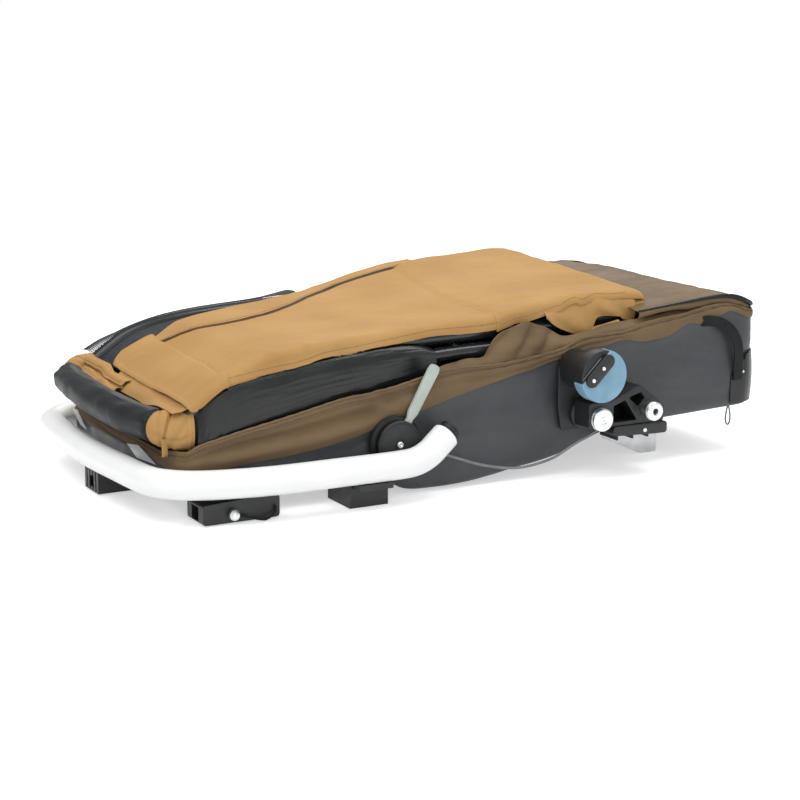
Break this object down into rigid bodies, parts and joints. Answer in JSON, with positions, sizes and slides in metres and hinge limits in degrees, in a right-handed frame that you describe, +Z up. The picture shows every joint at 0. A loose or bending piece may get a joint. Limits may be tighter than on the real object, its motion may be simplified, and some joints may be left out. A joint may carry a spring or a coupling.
{
  "type": "dog bike trailer",
  "caption": "Dog bike trailer folded flat: fabric tub on an aluminium frame, folded canvas roof, white tube bumper, brake levers and sprung axle arms, wheels off.",
  "frame": {"origin": "on the floor under the middle of the folded trailer's box", "axes": "-X towards the trailer's front and tow arm, +Y towards its far side, +Z up"},
  "size_m": [1.1337, 0.739, 0.3076],
  "materials": {
    "coated_fabric": "satin coated ripstop",
    "olive_fabric": "matte woven nylon",
    "gold_canvas": "matte woven canvas",
    "black_mesh": "open knitted mesh",
    "black_plastic": "moulded, fine grain",
    "black_frame": "satin powder coat",
    "white_paint": "satin powder coat",
    "grey_lever": "moulded satin",
    "blue_rubber": "cast elastomer, satin",
    "steel": "turned and polished",
    "bare_aluminium": "mill finish",
    "webbing": "woven webbing",
    "reflective": "plain reflective sheet",
    "wire": "coated wire"
  },
  "bodies": {
    "tub": {"tub_shell": "coated_fabric", "tub_band": "olive_fabric", "rear_fabric": "olive_fabric", "side_fabric_near": "olive_fabric", "side_fabric_far": "olive_fabric", "floor_panel": "black_plastic", "front_wheel_mount": "black_plastic", "tow_receiver": "black_plastic", "bumper_plug_near": "black_plastic", "bumper_plug_far": "black_plastic", "bumper_bracket_near": "black_plastic", "bumper_bracket_far": "black_plastic", "brake_housing_near": "black_plastic", "brake_housing_far": "black_plastic", "brake_cable_near": "black_plastic", "brake_cable_far": "black_plastic", "suspension_bracket_near": "black_plastic", "suspension_bracket_far": "black_plastic", "pad_clamp_near": "black_plastic", "pad_clamp_far": "black_plastic", "hinge_bracket_near": "black_frame", "hinge_bracket_far": "black_frame", "bumper": "white_paint", "pad_near": "blue_rubber", "pad_far": "blue_rubber", "pivot_cap_near": "steel", "pivot_cap_far": "steel", "front_cross_tube": "bare_aluminium", "rear_cross_tube": "bare_aluminium", "rail_near": "bare_aluminium", "rail_far": "bare_aluminium", "foot_plate_near": "bare_aluminium", "foot_plate_far": "bare_aluminium", "pin_lanyard": "webbing", "grab_strap": "webbing", "reflector_near": "reflective", "reflector_far": "reflective"},
    "upper_frame": {"roof_frame": "black_frame", "rear_bar": "black_frame", "front_roll": "coated_fabric", "roof_cloth": "gold_canvas", "roof_flap": "gold_canvas", "rear_top_panel": "olive_fabric", "front_mesh": "black_mesh", "corner_cuff_near": "gold_canvas", "corner_cuff_far": "gold_canvas", "side_tube_near": "black_frame", "side_tube_far": "black_frame", "side_panel_near": "coated_fabric", "side_panel_far": "coated_fabric"},
    "hoop": {"rear_hoop": "black_frame"},
    "lever_near": {"brake_lever_near": "grey_lever"},
    "lever_far": {"brake_lever_far": "grey_lever"},
    "arm_near": {"swing_arm_near": "black_plastic", "hub_sleeve_near": "steel"},
    "arm_far": {"swing_arm_far": "black_plastic", "hub_sleeve_far": "steel"},
    "pin": {"tow_pin": "steel"},
    "zip": {"zip_pull": "wire"}
  },
  "joints": [
    {"name": "roof_fold", "type": "hinge", "parent": "tub", "child": "upper_frame", "pos_m": [-0.434, 0, 0.13], "axis": [0, -1, 0], "range_deg": [0, 25], "deforming": ["side_fabric_near", "side_fabric_far", "rear_fabric"]},
    {"name": "hoop_fold", "type": "hinge", "parent": "upper_frame", "child": "hoop", "pos_m": [0.505, 0, 0.2465], "axis": [0, -1, 0], "range_deg": [0, 62]},
    {"name": "brake_near", "type": "hinge", "parent": "tub", "child": "lever_near", "pos_m": [-0.134, -0.2674, 0.089], "axis": [0, -1, 0], "range_deg": [0, 75]},
    {"name": "brake_far", "type": "hinge", "parent": "tub", "child": "lever_far", "pos_m": [-0.134, 0.2674, 0.089], "axis": [0, -1, 0], "range_deg": [0, 75]},
    {"name": "suspension_near", "type": "hinge", "parent": "tub", "child": "arm_near", "pos_m": [0.204, -0.2903, 0.105], "axis": [0, -1, 0], "range_deg": [0, 10], "stiffness_Nm_per_rad": 2},
    {"name": "suspension_far", "type": "hinge", "parent": "tub", "child": "arm_far", "pos_m": [0.204, 0.2903, 0.105], "axis": [0, -1, 0], "range_deg": [0, 10], "stiffness_Nm_per_rad": 2},
    {"name": "pin_pull", "type": "slide", "parent": "tub", "child": "pin", "axis": [0, -1, 0], "range_m": [0, 0.035]},
    {"name": "zip_swing", "type": "hinge", "parent": "tub", "child": "zip", "pos_m": [0.52, -0.25845, 0.08073], "axis": [0, 1, 0], "range_deg": [-40, 40]}
  ],
  "couplings": [
    {"joint": "hoop_fold", "follows": "roof_fold", "ratio": 2.45}
  ]
}
